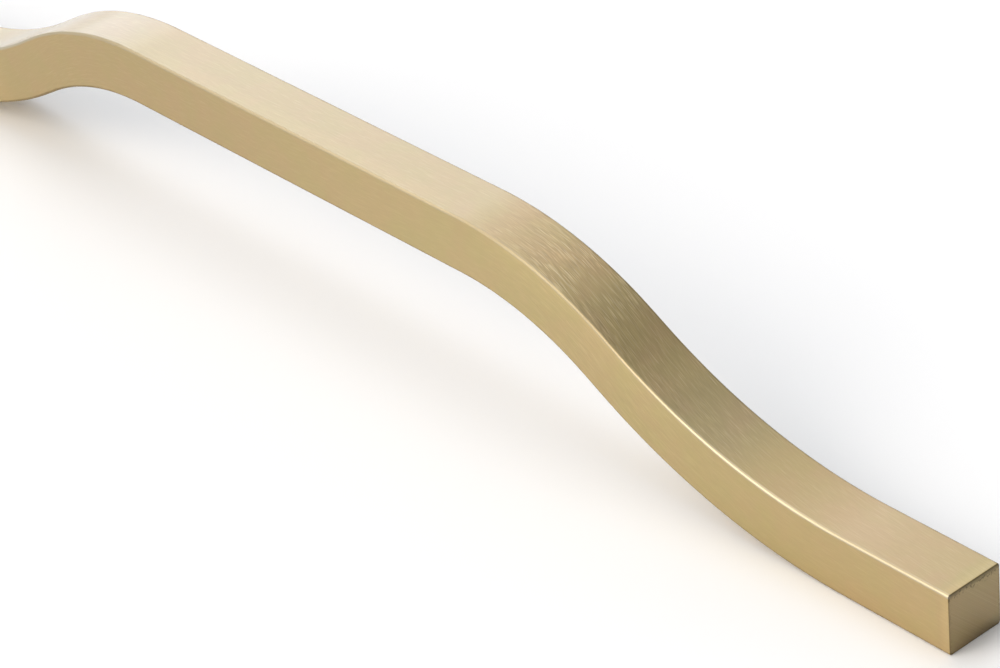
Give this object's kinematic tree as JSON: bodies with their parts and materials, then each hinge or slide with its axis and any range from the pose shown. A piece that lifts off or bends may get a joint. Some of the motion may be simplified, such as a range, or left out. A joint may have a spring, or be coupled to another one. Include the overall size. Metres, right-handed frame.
{
  "type": "furniture handle",
  "caption": "Slim bow handle bent from square brushed brass bar, for pulling open a cabinet door or drawer, with flat feet tapped from below for fixing screws.",
  "frame": {"origin": "midway between the two fixing holes, on the plane of the feet where they meet the door", "axes": "+X along the bar, +Y across it, +Z away from the door towards the hand"},
  "size_m": [0.276, 0.01, 0.031],
  "materials": {
    "brushed_brass": "satin, brushed along the bar"
  },
  "bodies": {
    "root": {"handle_bar": "brushed_brass"}
  },
  "joints": []
}
